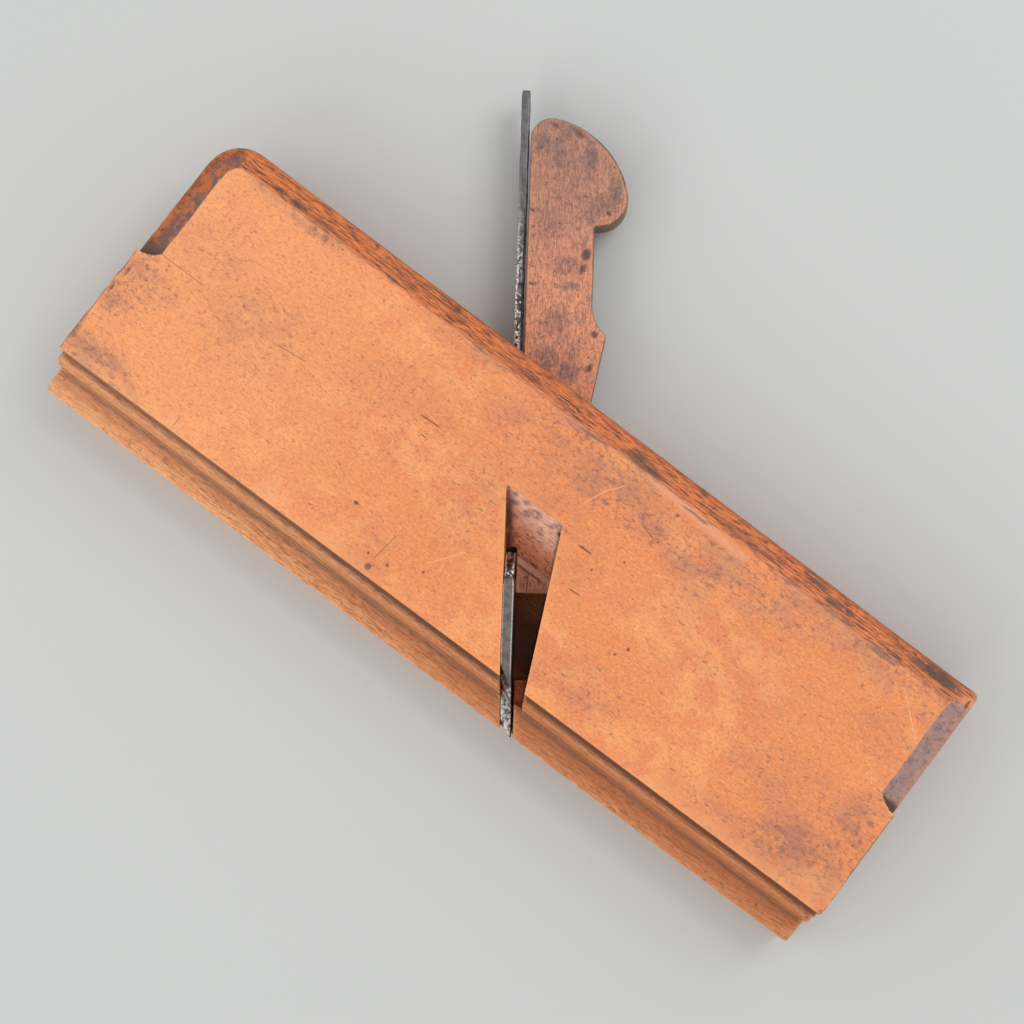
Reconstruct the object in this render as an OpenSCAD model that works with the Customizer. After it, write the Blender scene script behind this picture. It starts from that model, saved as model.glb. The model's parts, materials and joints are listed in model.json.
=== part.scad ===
// Moulding plane: a one-piece beech stock, a forged iron and a hardwood wedge.
// The plane lies on its blind side, as it is put down on a bench.
// X runs from heel to toe, Y from sole to top, and Z comes out of the near (escapement) side.
// The origin is the middle of the blind side, which is the flat face it rests on.

/* [Stock] */
// Length of the stock, heel to toe
stock_l = 241.3; // [200:0.1:280]
// Height of the stock, sole to top, half-way along it
stock_h = 81.8; // [76:0.1:92]
// Thickness of the stock, blind side to near side
stock_t = 28; // [26:0.1:38]
// How far the heel end leans out of square, in degrees
heel_lean = 1.7; // [0:0.1:3]
// How far the top falls towards the toe, in degrees
top_fall = 0.6; // [0:0.1:1]
// Width of the chamfers round the top and the two ends, across the sides of the stock
chamfer_w = 6.1; // [2:0.1:6.8]
// Depth of those chamfers, from the sides of the stock
chamfer_d = 3.3; // [2:0.1:5]
// Radius of the worn corner between the heel end and the top
heel_corner_r = 10; // [7:0.5:16]
// Radius of the corner between the toe end and the top
toe_corner_r = 1.6; // [0.5:0.1:4]
// Height above the sole at which the heel's end chamfers stop
heel_stop_h = 44; // [36:0.1:52]
// Height above the sole at which the toe's end chamfers stop
toe_stop_h = 43.1; // [36:0.1:52]
// Radius of the gouge cut that stops an end chamfer
gouge_r = 9.5; // [9:0.5:16]

/* [Sole] */
// Height of the sole's lower band, next to the lowest flat
band_h = 7.3; // [5:0.1:8]
// Width of the lowest flat of the sole, from the blind side
band_w = 13.5; // [13:0.1:15]
// Height of the shallow bead's outer edge above the lowest flat
bead_h = 9.3; // [8.5:0.1:10.5]
// Width of the shallow bead between the two steps
bead_w = 8.8; // [6:0.1:10]
// How far the bead bulges out of the straight line between its edges
bead_bulge = 0.6; // [0:0.1:1]
// Height of the depth stop's inner edge above the lowest flat
stop_in_h = 11.3; // [11:0.1:12]
// Height of the near side's lower edge above the lowest flat
near_edge_h = 12; // [11.8:0.1:14]

/* [Bed and throat] */
// Distance from the middle of the stock to the bed at the sole, towards the toe
mouth_x = 28; // [10:0.5:40]
// Pitch of the bed, in degrees
bed_angle = 55.4; // [50:0.1:60]
// Angle between the bed and the breast, which is also the wedge's taper, in degrees
wedge_angle = 10.8; // [9:0.1:12]
// Distance from the bed to the line of the breast at the sole
breast_gap = 4.5; // [4:0.1:6]
// Gap in front of the iron where it comes through the sole
mouth_gap = 0.6; // [0.3:0.1:1]
// Distance along the bed from the sole to the shelf where the mouth opens into the throat
shelf_s = 12.8; // [10:0.1:16]
// How far the shelf stands proud of the sole's lower band
shelf_rise = 0.1; // [0.05:0.05:0.3]
// Wood left between the mortise and the blind side
cheek_t = 3.5; // [3:0.1:4]
// Height above the sole of the escapement's upper edge
eye_top_h = 52.4; // [48:0.1:56]
// Height above the sole of the lower edge of the escapement's sloping top
eye_low_h = 39.2; // [37:0.1:42]

/* [Iron] */
// Thickness of the blade
blade_t = 2.8; // [2.4:0.1:3.2]
// Thickness of the tang
tang_t = 2.2; // [1.6:0.1:2.4]
// Length of the tang that stands above the stock, along the bed
tang_out = 69.2; // [50:0.1:75]
// Width of the tang at its top end
tang_top_w = 7.4; // [5:0.1:8]
// Drop of the forged shoulder from the tang to the blade's near edge
shoulder_drop = 7; // [4:0.1:10]
// Length along the bed over which the blade thins to the tang
thinning = 8; // [4:0.5:15]
// How far the cutting edge stands out of the sole
iron_set = 0.8; // [0.1:0.1:0.9]
// Angle of the ground bevel, in degrees
bevel_angle = 26; // [22:1:35]
// Travel that the iron has upwards before its shoulder meets the end of its slot
iron_lift = 1; // [0.5:0.1:2]

/* [Wedge] */
// Distance along the bed from the sole to the wedge's square end
wedge_end = 35.5; // [26:0.1:40]
// Length of the wedge that stands above the stock, along the bed
wedge_out = 61.6; // [60:0.1:72]
// Distance from the top of the wedge down to its front shoulder
shoulder_at = 57.2; // [54:0.1:59]
// Depth of the step from the wedge's front face back to its neck
neck_step = 3.9; // [2:0.1:5]
// Radius of the hollow between the wedge's shoulder and its neck
neck_r = 10.6; // [8:0.1:14]
// Radius of the finial's nose
nose_r = 7.4; // [6:0.1:8]
// How far the middle of the nose lies in front of the neck
nose_n = 1.2; // [0:0.1:3]
// Distance from the top of the wedge down to the middle of the nose
nose_at = 21.2; // [19:0.1:23]
// Radius of the finial's crown
crown_r = 24.6; // [22:0.1:32]
// Radius of the finial's back corner
back_r = 5.9; // [4:0.1:7]

/* [Clearances] */
// Clearance between the wedge and each side wall of the mortise
wedge_gap = 0.15; // [0.05:0.05:0.3]
// Clearance between the tang and the near wall of the mortise
tang_gap = 0.4; // [0.2:0.1:0.8]
// Clearance between each edge of the blade and the stock's side or cheek
blade_gap = 0.15; // [0.05:0.05:0.3]
// How far the steps of the blade stand clear of the steps of the sole
step_gap = 0.2; // [0.1:0.05:0.3]

/* [Hidden] */

$fn = 64;
// Steps in each drawn arc
arc_steps = 16;
// How far a cutting shape runs past what it cuts
over = 5;
// Longer than any piece of the plane
far = 3 * stock_h;
// Clearance left above the iron's shoulder at the top of its lift
lift_spare = 0.3;
// How far the blade stays at full thickness above its shoulder, under the wedge's foot
blade_above = 4;
// Radius left at the tip of a corner's cone, so that the cone has no point
cone_tip = 0.05;
// How far a corner's cone runs past the stock's side
cone_over = 0.5;
// How far a corner's curve lies inside the flats beside it, so that its seams close
corner_in = 0.01;

// Top of the stock and of the wedge, measured along the bed
top_s = stock_h / sin(bed_angle);
crown_s = top_s + wedge_out;

// How far the top's fall lifts it at the heel, and lowers it at the toe
end_fall = stock_l / 2 * sin(top_fall);

// Upper end of the blade's slot, and the iron's shoulder below it
slot_s = along_bed(eye_low_h, 0);
shoulder_s = slot_s - iron_lift - lift_spare;

// Edges of the blade and of the tang, measured from the blind side
blade_z0 = cheek_t + blade_gap;
blade_z1 = stock_t - blade_gap;
tang_z1 = band_w - tang_gap;

// Position along the bed of a height above the sole, at a distance n in front of the bed
function along_bed(height, n) = (height - n * cos(bed_angle)) / sin(bed_angle);

// Distance from the bed to the breast at a position along the bed
function breast_n(s) = breast_gap + tan(wedge_angle) * s;

// Points of an arc about a centre
function arc(centre, r, from, to) =
    [for (i = [0:arc_steps]) let (a = from + (to - from) * i / arc_steps) centre + r * [cos(a), sin(a)]];

// Direction from one point to another, in degrees
function bearing(from, to) = atan2(to[1] - from[1], to[0] - from[0]);

// The point at distance rp from p and rq from q, on the left of the way from q to p
function meet(p, q, rp, rq) =
    let (d = norm(p - q), u = (p - q) / d, a = (rq * rq - rp * rp + d * d) / (2 * d))
    q + a * u + sqrt(rq * rq - a * a) * [-u[1], u[0]];

// The bead from its inner edge to its outer edge, as [z, height], moved outwards by a clearance
function bead_line(gap) =
    let (from = [band_w + gap, band_h], to = [band_w + bead_w + gap, bead_h])
    let (across = to - from, out = [across[1], -across[0]] / norm(across))
    [for (i = [0:arc_steps]) let (t = i / arc_steps) from + t * across + 4 * t * (1 - t) * bead_bulge * out];

// The sole's moulded line from one z to another, as [z, height]
function sole_line(gap, z0, z1) = concat(
    [[z0, 0], [band_w + gap, 0]],
    bead_line(gap),
    [[band_w + bead_w + gap, stop_in_h], [z1, near_edge_h]]
);

// Moves heights above the sole to heights above the origin
module from_sole() {
    translate([0, -stock_h / 2, 0]) children();
}

// The frame of the bed: X leaves the bed square to it, Y climbs it from the sole
module on_bed() {
    translate([mouth_x, 0, 0]) rotate([0, 0, 90 - bed_angle]) children();
}

// Turns a [height, z] outline into a bar along the stock
module along_stock(length) {
    translate([-length / 2, 0, 0]) rotate([90, 0, 90]) linear_extrude(length) children();
}

// Turns a shape with the top of the stock, about the middle of the stock
module with_the_top() {
    translate([0, stock_h / 2, 0]) rotate([0, 0, -top_fall]) translate([0, -stock_h / 2, 0]) children();
}

// Repeats a shape of the near side on the blind side
module both_sides() {
    children();
    translate([0, 0, stock_t]) mirror([0, 0, 1]) children();
}

// End view of the stock before its top is cut: the moulded sole, and plain sides
module stock_section() {
    polygon(concat(
        [for (p = sole_line(0, 0, stock_t)) [p[1], p[0]]],
        [[stock_h + over, stock_t], [stock_h + over, 0]]
    ));
}

// Waste above the top of the stock and outside its two chamfers
module top_waste() {
    low = stock_h - chamfer_w - over * chamfer_w / chamfer_d;
    high = stock_h + 3 * over;
    along_stock(stock_l + 4 * over) polygon([
        [low, stock_t + over],
        [stock_h, stock_t - chamfer_d],
        [stock_h, chamfer_d],
        [low, -over],
        [high, -over],
        [high, stock_t + over]
    ]);
}

// Waste outside one chamfer of an end face that stands at X = 0, down to its gouged stop
module end_chamfer_waste(stop_h) {
    slope = norm([chamfer_w, chamfer_d]);
    pitch = atan2(chamfer_d, chamfer_w);
    translate([0, 0, stock_t - chamfer_d]) rotate([0, -pitch, 0]) linear_extrude(slope) {
        translate([0, stop_h + gouge_r]) circle(gouge_r);
        translate([-over, stop_h + gouge_r]) square([slope + 2 * over, stock_h]);
    }
}

// Waste outside the rounded top corner of an end that stands at X = 0, with the chamfer round it as a cone
module corner_waste(centre, lean, r) {
    spread = chamfer_w / chamfer_d;
    round_r = r - corner_in;
    cone_h = min(chamfer_d + cone_over, (round_r - cone_tip) / spread);
    reach = r + over;
    translate(centre) difference() {
        translate([0, 0, -over]) linear_extrude(stock_t + 2 * over) polygon([
            [0, 0],
            [-reach, 0],
            [-reach, reach],
            reach * [-sin(lean), cos(lean)]
        ]);
        translate([0, 0, chamfer_d]) cylinder(h = stock_t - 2 * chamfer_d, r = round_r);
        both_sides() translate([0, 0, stock_t - chamfer_d])
            cylinder(h = cone_h, r1 = round_r, r2 = round_r - cone_h * spread);
    }
}

// All the waste at the heel end, for an end face that leans out of square to the top
module end_waste(lean, corner_r, stop_h) {
    corner_y = stock_h / 2 - corner_r;
    translate([-stock_l / 2, stock_h / 2, 0]) rotate([0, 0, -lean]) {
        translate([-4 * over, -stock_h, -over]) cube([4 * over, 2 * stock_h, stock_t + 2 * over]);
        translate([0, -stock_h / 2, 0]) both_sides() end_chamfer_waste(stop_h);
        corner_waste([corner_r, (corner_y + corner_r * sin(lean)) / cos(lean), 0], lean, corner_r);
    }
}

// The throat's prism between the bed and the breast, right through the stock from the cheek
module throat_prism() {
    s0 = -over;
    s1 = top_s + over;
    on_bed() translate([0, 0, cheek_t]) linear_extrude(stock_t)
        polygon([[0, s0], [breast_n(s0), s0], [breast_n(s1), s1], [0, s1]]);
}

// The wood over the escapement's sloping top, which is also the near wall of the mortise
module wood_over_slope() {
    slope = (eye_top_h - eye_low_h) / (stock_t - band_w);
    along_stock(stock_l) polygon([
        [eye_low_h, band_w],
        [eye_top_h + slope * over, stock_t + over],
        [stock_h + over, stock_t + over],
        [stock_h + over, band_w]
    ]);
}

// The wood under the shelf, between the mouth and the blind side
module wood_under_shelf() {
    on_bed() translate([-over, -over, 0]) cube([3 * over, shelf_s + over, band_w + shelf_rise]);
}

// A slot along the bed for the iron, of a given width in front of the bed
module iron_slot(width, s1) {
    on_bed() translate([0, -over, cheek_t]) cube([width, s1 + over, stock_t]);
}

// The stock: body, moulded sole, chamfers, mortise, throat and mouth
module stock() {
    color("peru") from_sole() difference() {
        along_stock(stock_l + 2 * over) stock_section();
        with_the_top() {
            top_waste();
            end_waste(heel_lean - top_fall, heel_corner_r, heel_stop_h - end_fall);
            mirror([1, 0, 0]) end_waste(top_fall, toe_corner_r, toe_stop_h + end_fall);
        }
        difference() {
            throat_prism();
            wood_over_slope();
            wood_under_shelf();
        }
        iron_slot(blade_t + mouth_gap, shelf_s + 1);
        iron_slot(blade_t + blade_gap, slot_s);
    }
}

// Outline of the iron as [z, s]: blade, forged shoulder and tapering tang
module iron_outline() {
    tang_s = top_s + tang_out;
    tang_mid = (blade_z0 + tang_z1) / 2;
    corner = 0.8;
    polygon(concat(
        [[blade_z0, -over], [blade_z1, -over]],
        [for (i = [0:arc_steps]) let (a = 90 - 90 * i / arc_steps) [
            tang_z1 + (blade_z1 - tang_z1) * sin(a),
            shoulder_s - shoulder_drop * (1 - cos(a))
        ]],
        [
            [tang_mid + tang_top_w / 2, tang_s - corner],
            [tang_mid + tang_top_w / 2 - corner, tang_s],
            [tang_mid - tang_top_w / 2 + corner, tang_s],
            [tang_mid - tang_top_w / 2, tang_s - corner]
        ]
    ));
}

// Side view of the iron as [n, s]: a flat back, and a blade that thins to the tang
module iron_side() {
    thick_s = shoulder_s + blade_above;
    polygon([
        [0, -over],
        [blade_t, -over],
        [blade_t, thick_s],
        [tang_t, thick_s + thinning],
        [tang_t, far],
        [0, far]
    ]);
}

// Everything above the ground edge: the sole's line, carried back from the cutting edge at the bevel
module ground_edge() {
    line = sole_line(step_gap, 0, stock_t);
    edge = [for (p = line) [
        blade_t * cos(bevel_angle) + along_bed(p[1] - iron_set, blade_t) * sin(bevel_angle),
        p[0]
    ]];
    rotate([0, 0, bevel_angle]) translate([0, far, 0]) rotate([90, 0, 0]) linear_extrude(2 * far)
        polygon(concat(edge, [[far, stock_t], [far, 0]]));
}

// The iron: one forging, its back flat on the bed
module iron() {
    color("dimgray") from_sole() on_bed() intersection() {
        translate([blade_t, 0, 0]) rotate([0, -90, 0]) linear_extrude(blade_t) iron_outline();
        linear_extrude(stock_t) iron_side();
        ground_edge();
    }
}

// Side view of the wedge as [n, s]: tapering shank, hollowed neck and round finial
module wedge_side() {
    shoulder = [breast_n(crown_s - shoulder_at), crown_s - shoulder_at];
    neck = shoulder[0] - neck_step;
    hollow = [neck + neck_r, shoulder[1] + sqrt(neck_r * neck_r - pow(neck_step - neck_r, 2))];
    nose = [neck + nose_n, crown_s - nose_at];
    back = [blade_t + 0.95 * back_r, crown_s - back_r];
    crown = meet(back, nose, crown_r - back_r, crown_r - nose_r);
    polygon(concat(
        [[blade_t, wedge_end], [breast_n(wedge_end), wedge_end]],
        arc(hollow, neck_r, 360 + bearing(hollow, shoulder), 180),
        arc(nose, nose_r, -acos(-nose_n / nose_r), bearing(crown, nose)),
        arc(crown, crown_r, bearing(crown, nose), bearing(crown, back)),
        arc(back, back_r, bearing(crown, back), acos(-0.95))
    ));
}

// The wedge: it jams between the iron and the breast of the mortise
module wedge() {
    color("sienna") from_sole() on_bed() translate([0, 0, cheek_t + wedge_gap])
        linear_extrude(band_w - cheek_t - 2 * wedge_gap) wedge_side();
}

stock();
iron();
wedge();
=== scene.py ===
import json
import math

import bmesh
import bpy
import numpy as np
from mathutils import Euler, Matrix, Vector
from mathutils.kdtree import KDTree


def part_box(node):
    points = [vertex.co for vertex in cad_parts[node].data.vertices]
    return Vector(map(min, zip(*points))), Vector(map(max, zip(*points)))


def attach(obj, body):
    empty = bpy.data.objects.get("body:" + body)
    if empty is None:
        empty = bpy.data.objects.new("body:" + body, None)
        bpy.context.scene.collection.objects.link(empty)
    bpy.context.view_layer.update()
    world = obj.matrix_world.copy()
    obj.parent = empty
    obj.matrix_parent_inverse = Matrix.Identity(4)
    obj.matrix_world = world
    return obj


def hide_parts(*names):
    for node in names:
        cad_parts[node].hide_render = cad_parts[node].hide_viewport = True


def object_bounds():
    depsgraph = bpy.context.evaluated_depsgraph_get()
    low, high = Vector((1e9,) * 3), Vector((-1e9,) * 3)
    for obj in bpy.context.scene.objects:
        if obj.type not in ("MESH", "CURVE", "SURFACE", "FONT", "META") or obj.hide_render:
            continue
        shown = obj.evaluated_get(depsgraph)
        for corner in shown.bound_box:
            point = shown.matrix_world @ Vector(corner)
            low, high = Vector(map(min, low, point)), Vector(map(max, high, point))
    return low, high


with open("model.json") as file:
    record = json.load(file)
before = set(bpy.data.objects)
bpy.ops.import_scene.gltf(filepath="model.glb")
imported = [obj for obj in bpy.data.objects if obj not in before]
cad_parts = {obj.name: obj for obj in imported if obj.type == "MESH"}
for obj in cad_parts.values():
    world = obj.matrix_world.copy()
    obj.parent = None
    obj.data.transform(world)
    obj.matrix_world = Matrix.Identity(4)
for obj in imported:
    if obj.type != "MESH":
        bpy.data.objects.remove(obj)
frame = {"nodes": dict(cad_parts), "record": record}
cad_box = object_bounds()
scene = bpy.context.scene

MM = 0.001

# Sizes of the CAD model in millimetres, from the frame. A height is measured from the sole.
stock_low, stock_high = (Vector(corner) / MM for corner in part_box("stock"))
SOLE_Y = stock_low.y
STOCK_T = stock_high.z
slide_axis = frame["record"]["behaviour"]["joints"][0]["axis"]
BED_ANGLE = math.atan2(slide_axis[1], -slide_axis[0])

# Its smaller features in millimetres: where the bed meets the sole, and the breast's place in front of it
BED_X = 28.0
BREAST_GAP = 4.5
# The breast is steeper than the bed by this angle, which is also the wedge's taper
WEDGE_ANGLE = math.radians(10.8)
# The cheek's thickness behind the throat, and the sole's flat band: its top's height and its face's z
CHEEK_T = 3.5
BAND_H = 7.3
BAND_Z = 13.5
# The near face's lower edge, and the depth of the chamfers
NEAR_EDGE_H = 12.0
CHAMFER_D = 3.3
# The escapement's sloping top, from its low end to its high one
RAMP_LOW_H = 39.2
RAMP_TOP_H = 52.4
# The blade's thickness, its length along the bed, and the z of the wedge's near side
BLADE_T = 2.8
BLADE_END = 39.2
WEDGE_Z = 13.35

# Voxel size of each even mesh in millimetres, and the most triangles that the piece keeps
STOCK_VOXEL = 0.4
STOCK_TRIANGLES = 196000
IRON_VOXEL = 0.25
WEDGE_VOXEL = 0.3
SMALL_PIECE_TRIANGLES = 150000

# Vertices nearer than this many metres are one in the CAD mesh, and edges that turn by more are sharp
WELD_DISTANCE = 1e-6
SHARP_ANGLE = math.radians(20)
# Marks stand this far apart along the sharp edges, in millimetres, and draw in the vertices within this
# share of a voxel
MARK_STEP = 0.12
MARK_REACH = 0.62
# Hollows are stored this much stronger than edges that bend as much
HOLLOW_GAIN = 1.6

# The noise's table of random values, whose size is a power of two, and the factors that mix a cell's place
NOISE_VALUES = 8192
NOISE_FACTORS = (73856093, 19349663, 83492791)

# The photograph's camera, in millimetres and degrees
CAMERA_PLACE = (18.71, 2.82, 534.7)
CAMERA_TURN = (1.756, 1.694, 36.598)
CAMERA_LENS = 70
CAMERA_SENSOR = 36

# The floor and the lamps, in metres
FLOOR_HALF = 3.0
FLOOR_GAP = 0.00005
LAMP_SIZE = 0.7
LAMP_DISTANCE = 1.2

# Each lamp's bearing in the picture and its elevation in degrees, and its power in watts
LAMPS = {
    "key_light": (38, 46, 4.5),
    "fill_light": (175, 40, 1.6),
    "sole_light": (228, 34, 2.7),
}
WORLD_STRENGTH = 0.67


# Camera, floor and light

def make_camera():
    """The camera that took the photograph."""
    data = bpy.data.cameras.new("camera")
    data.lens = CAMERA_LENS
    data.sensor_width = CAMERA_SENSOR
    camera = bpy.data.objects.new("camera", data)
    camera.location = Vector(CAMERA_PLACE) * MM
    camera.rotation_euler = Euler([math.radians(a) for a in CAMERA_TURN])
    scene.collection.objects.link(camera)
    scene.camera = camera


def make_floor():
    """A pale floor just under the blind side, on which the plane lies."""
    half = FLOOR_HALF
    corners = [(-half, -half, 0), (half, -half, 0), (half, half, 0), (-half, half, 0)]
    mesh = bpy.data.meshes.new("floor")
    mesh.from_pydata(corners, [], [(0, 1, 2, 3)])
    floor = bpy.data.objects.new("floor", mesh)
    floor.location = (0, 0, cad_box[0].z - FLOOR_GAP)
    scene.collection.objects.link(floor)
    material = bpy.data.materials.new("floor")
    material.use_nodes = True
    shader = material.node_tree.nodes["Principled BSDF"]
    shader.inputs["Base Color"].default_value = (0.6, 0.61, 0.6, 1)
    shader.inputs["Roughness"].default_value = 0.7
    shader.inputs["Specular IOR Level"].default_value = 0.2
    mesh.materials.append(material)


def make_softbox(name, bearing, elevation, power):
    """A large square lamp. The bearing is in the picture: 0 degrees is its right, 90 its top."""
    bearing, elevation = math.radians(bearing), math.radians(elevation)
    turn = Euler([math.radians(a) for a in CAMERA_TURN]).to_matrix()
    level = turn @ Vector((math.cos(bearing), math.sin(bearing), 0)) * math.cos(elevation)
    direction = (level + Vector((0, 0, math.sin(elevation)))).normalized()
    data = bpy.data.lights.new(name, "AREA")
    data.shape = "SQUARE"
    data.size = LAMP_SIZE
    data.energy = power
    lamp = bpy.data.objects.new(name, data)
    lamp.location = direction * LAMP_DISTANCE
    lamp.rotation_euler = (-direction).to_track_quat("-Z", "Y").to_euler()
    scene.collection.objects.link(lamp)


def make_world(strength):
    """Even pale light from all round."""
    world = bpy.data.worlds.new("studio")
    world.use_nodes = True
    background = world.node_tree.nodes["Background"]
    background.inputs["Color"].default_value = (0.99, 1.0, 1.0, 1)
    background.inputs["Strength"].default_value = strength
    scene.world = world


# Meshes: each CAD node is meshed evenly, worn and dented, and thinned out again

def noise(points, cell, seed):
    """Smooth noise from -1 to 1 at points in millimetres, with features of about one cell."""
    table = np.random.default_rng(seed).uniform(-1, 1, NOISE_VALUES)
    scaled = points / np.asarray(cell, float)
    base = np.floor(scaled).astype(np.int64)
    part = scaled - base
    part = part * part * (3 - 2 * part)
    total = np.zeros(len(points))
    for corner in np.ndindex(2, 2, 2):
        step = np.array(corner)
        key = ((base + step) * NOISE_FACTORS).sum(1) & (NOISE_VALUES - 1)
        total += table[key] * np.where(step, part, 1 - part).prod(1)
    return total


def ease(value, low, high):
    """0 at low, 1 at high, with a smooth step between. High may be the smaller."""
    t = np.clip((value - low) / (high - low), 0, 1)
    return t * t * (3 - 2 * t)


def patches(u, v, rows, outer, inner):
    """The strongest at each point of some soft ovals on a plane.

    A row has an oval's centre, its two half sizes and its strength. With distances in half sizes, the oval
    is full where their square is inner, and gone where it is outer.
    """
    total = np.zeros(len(u))
    for centre_u, centre_v, half_u, half_v, strength in rows:
        away = ((u - centre_u) / half_u) ** 2 + ((v - centre_v) / half_v) ** 2
        total = np.maximum(total, strength * ease(away, outer, inner))
    return total


class Skin:
    """The surface of a piece as arrays, in millimetres."""

    def __init__(self, piece):
        self.piece = piece
        mesh = piece.data
        self.count = len(mesh.vertices)
        self.co = self.read("co", mesh.vertices, 3) / MM
        self.first, self.second = self.read("vertices", mesh.edges, 2, np.int32).T
        ends = np.concatenate([self.first, self.second])
        self.degree = np.bincount(ends, minlength=self.count)
        self.find_normals()

    @staticmethod
    def read(name, rows, width, kind=np.float32):
        """A property of a mesh's vertices or edges, with one row of numbers for each."""
        values = np.empty(len(rows) * width, kind)
        rows.foreach_get(name, values)
        return values.reshape(-1, width).astype(np.int64 if kind is np.int32 else float)

    def write(self):
        """Puts the places back into the mesh."""
        self.piece.data.vertices.foreach_set("co", (self.co * MM).astype(np.float32).ravel())
        self.piece.data.update()

    def find_normals(self):
        """Puts the places back, and takes the new normals."""
        self.write()
        self.normal = self.read("vector", self.piece.data.vertex_normals, 3)

    def around(self, values):
        """The mean of each vertex's neighbours."""
        out = np.empty_like(values)
        for k in range(values.shape[1]):
            column = values[:, k]
            total = np.bincount(self.first, column[self.second], self.count)
            total += np.bincount(self.second, column[self.first], self.count)
            out[:, k] = total / self.degree
        return out

    def soften(self, rounds, weight=1.0):
        """Smooths the surface. The weight may be one number for each vertex."""
        share = 0.5 * np.broadcast_to(np.asarray(weight, float), self.count)[:, None]
        for _ in range(rounds):
            self.co += share * (self.around(self.co) - self.co)
        self.find_normals()

    def curve(self, rounds):
        """How far the surface stands above a smoothed copy of itself, or below it where negative."""
        copy = self.co.copy()
        for _ in range(rounds):
            copy += 0.5 * (self.around(copy) - copy)
        return ((self.co - copy) * self.normal).sum(1)

    def snap(self, edges, reach):
        """Pulls the vertices that lie near sharp edges onto them, because an even mesh cuts its corners."""
        spots = []
        for a, b in edges:
            steps = max(int((b - a).length / MARK_STEP), 1)
            spots += [a.lerp(b, k / steps) for k in range(steps + 1)]
        tree = KDTree(len(spots))
        for index, spot in enumerate(spots):
            tree.insert(spot, index)
        tree.balance()
        for index, place in enumerate(self.co.tolist()):
            spot, _, distance = tree.find(place)
            if distance < reach:
                self.co[index] = spot

    def press(self, centre, radius, depth, push=None):
        """A dent of a given depth round a point, along push or along the surface's own inward normal."""
        away = (((self.co - centre) / radius) ** 2).sum(1)
        near = away < 1
        way = -self.normal[near] if push is None else np.asarray(push, float)
        self.co[near] += (depth * (1 - away[near]) ** 2)[:, None] * way

    def keep_inside(self, node):
        """Moves what stands out of a CAD node's box back to the box."""
        low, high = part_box(node)
        self.co = np.clip(self.co, np.array(low) / MM, np.array(high) / MM)
        self.write()

    def store(self, name, values):
        """Keeps one number for each vertex, for the material to read."""
        attributes = self.piece.data.attributes
        layer = attributes.get(name) or attributes.new(name, "FLOAT", "POINT")
        layer.data.foreach_set("value", np.asarray(values, np.float32))

    def store_bends(self, rounds, full):
        """Keeps where the surface is convex, as on an arris, and where it is hollow, from 0 to 1."""
        bend = self.curve(rounds)
        self.store("edge", np.clip(bend / full, 0, 1))
        self.store("hollow", np.clip(-HOLLOW_GAIN * bend / full, 0, 1))


def with_modifier(piece, kind, **settings):
    """Adds a modifier and applies it."""
    modifier = piece.modifiers.new(kind.lower(), kind)
    for name, value in settings.items():
        setattr(modifier, name, value)
    bpy.context.view_layer.update()
    evaluated = piece.evaluated_get(bpy.context.evaluated_depsgraph_get())
    mesh = bpy.data.meshes.new_from_object(evaluated)
    piece.modifiers.clear()
    piece.data = mesh


def even_skin(node, name, voxel):
    """A closed copy of a CAD node with an even mesh and the node's sharp edges."""
    mesh = frame["nodes"][node].data.copy()
    mesh.materials.clear()
    work = bmesh.new()
    work.from_mesh(mesh)
    bmesh.ops.remove_doubles(work, verts=work.verts, dist=WELD_DISTANCE)
    work.to_mesh(mesh)
    sharp = [e for e in work.edges if e.calc_face_angle(0) > SHARP_ANGLE]
    edges = [(e.verts[0].co / MM, e.verts[1].co / MM) for e in sharp]
    work.free()
    piece = bpy.data.objects.new(name, mesh)
    scene.collection.objects.link(piece)
    with_modifier(piece, "REMESH", mode="VOXEL", voxel_size=voxel * MM)
    skin = Skin(piece)
    skin.snap(edges, MARK_REACH * voxel)
    return skin


def thin_out(skin, triangles):
    """The same surface with fewer triangles, kept where it bends."""
    piece = skin.piece
    now = sum(len(p.vertices) - 2 for p in piece.data.polygons)
    if now > triangles:
        with_modifier(piece, "DECIMATE", decimate_type="COLLAPSE", ratio=triangles / now)
    piece.data.shade_smooth()
    return Skin(piece)


def place_piece(piece, node, material):
    """Gives a finished piece its material and slot, and says which node it replaces and rides on."""
    piece.data.materials.clear()
    piece.data.materials.append(material)
    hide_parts(node)
    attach(piece, node)


def height(co):
    """Height above the sole."""
    return co[:, 1] - SOLE_Y


def bed_place(co):
    """Distance along the bed from the sole, and distance in front of the bed."""
    x = co[:, 0] - BED_X
    h = height(co)
    along = -x * math.cos(BED_ANGLE) + h * math.sin(BED_ANGLE)
    front = x * math.sin(BED_ANGLE) + h * math.cos(BED_ANGLE)
    return along, front


def from_bed(along, front, z):
    """The point in the CAD's frame for a place given along the bed and in front of it."""
    x = BED_X - along * math.cos(BED_ANGLE) + front * math.sin(BED_ANGLE)
    h = along * math.sin(BED_ANGLE) + front * math.cos(BED_ANGLE)
    return np.array((x, h + SOLE_Y, z))


def ramp_z(h):
    """The z of the escapement's sloping top, at a height above the sole."""
    slope = (STOCK_T - BAND_Z) / (RAMP_TOP_H - RAMP_LOW_H)
    return BAND_Z + slope * (h - RAMP_LOW_H)


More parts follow.
